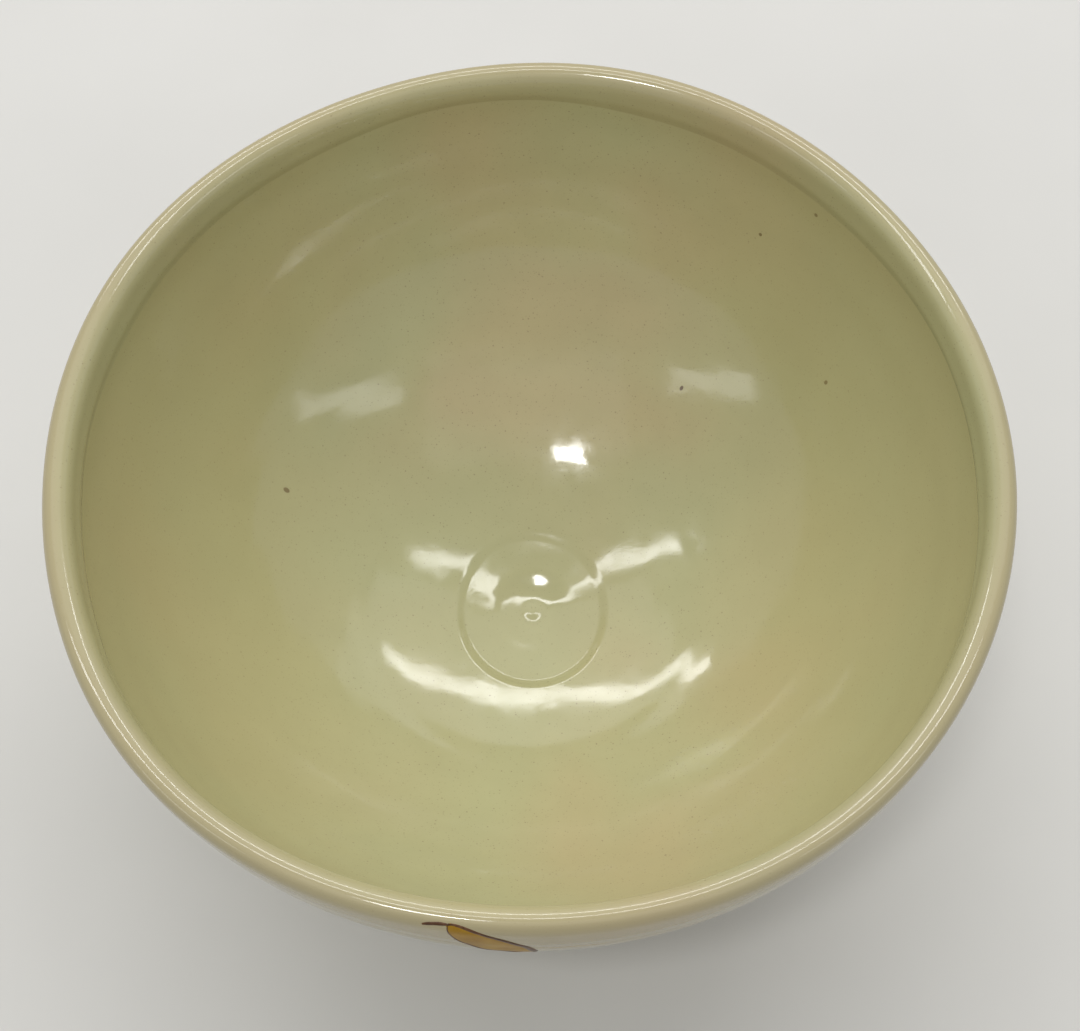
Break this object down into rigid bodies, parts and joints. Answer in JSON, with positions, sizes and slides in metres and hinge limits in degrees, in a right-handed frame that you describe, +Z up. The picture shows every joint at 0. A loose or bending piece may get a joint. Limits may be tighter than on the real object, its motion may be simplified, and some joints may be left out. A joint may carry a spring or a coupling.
{
  "type": "matcha bowl",
  "caption": "Round thrown tea bowl with a rolled lip, a small pool in the floor, a bare foot ring and a leaf in raised enamel.",
  "frame": {"origin": "on the ground at the middle of the foot ring", "axes": "+Z up along the bowl's axis; the painted front faces -Y"},
  "size_m": [0.123, 0.1235, 0.066],
  "materials": {
    "bare_clay": "unglazed fired stoneware, matt and slightly gritty",
    "inner_glaze": "glossy buff to yellow-green glaze with soft pink and green clouds and fine brown specks",
    "outer_glaze": "glossy cream-buff glaze, thicker and paler on the lip, with pink and green clouds",
    "ochre_enamel": "translucent ochre-yellow overglaze enamel",
    "iron_enamel": "dark iron-brown overglaze line"
  },
  "bodies": {
    "root": {"thrown_bowl": "bare_clay", "foot_ring": "bare_clay", "inner_glaze": "inner_glaze", "outer_glaze": "outer_glaze", "leaf": "ochre_enamel", "leaf_outline": "iron_enamel", "leaf_stalk": "iron_enamel"}
  },
  "joints": []
}
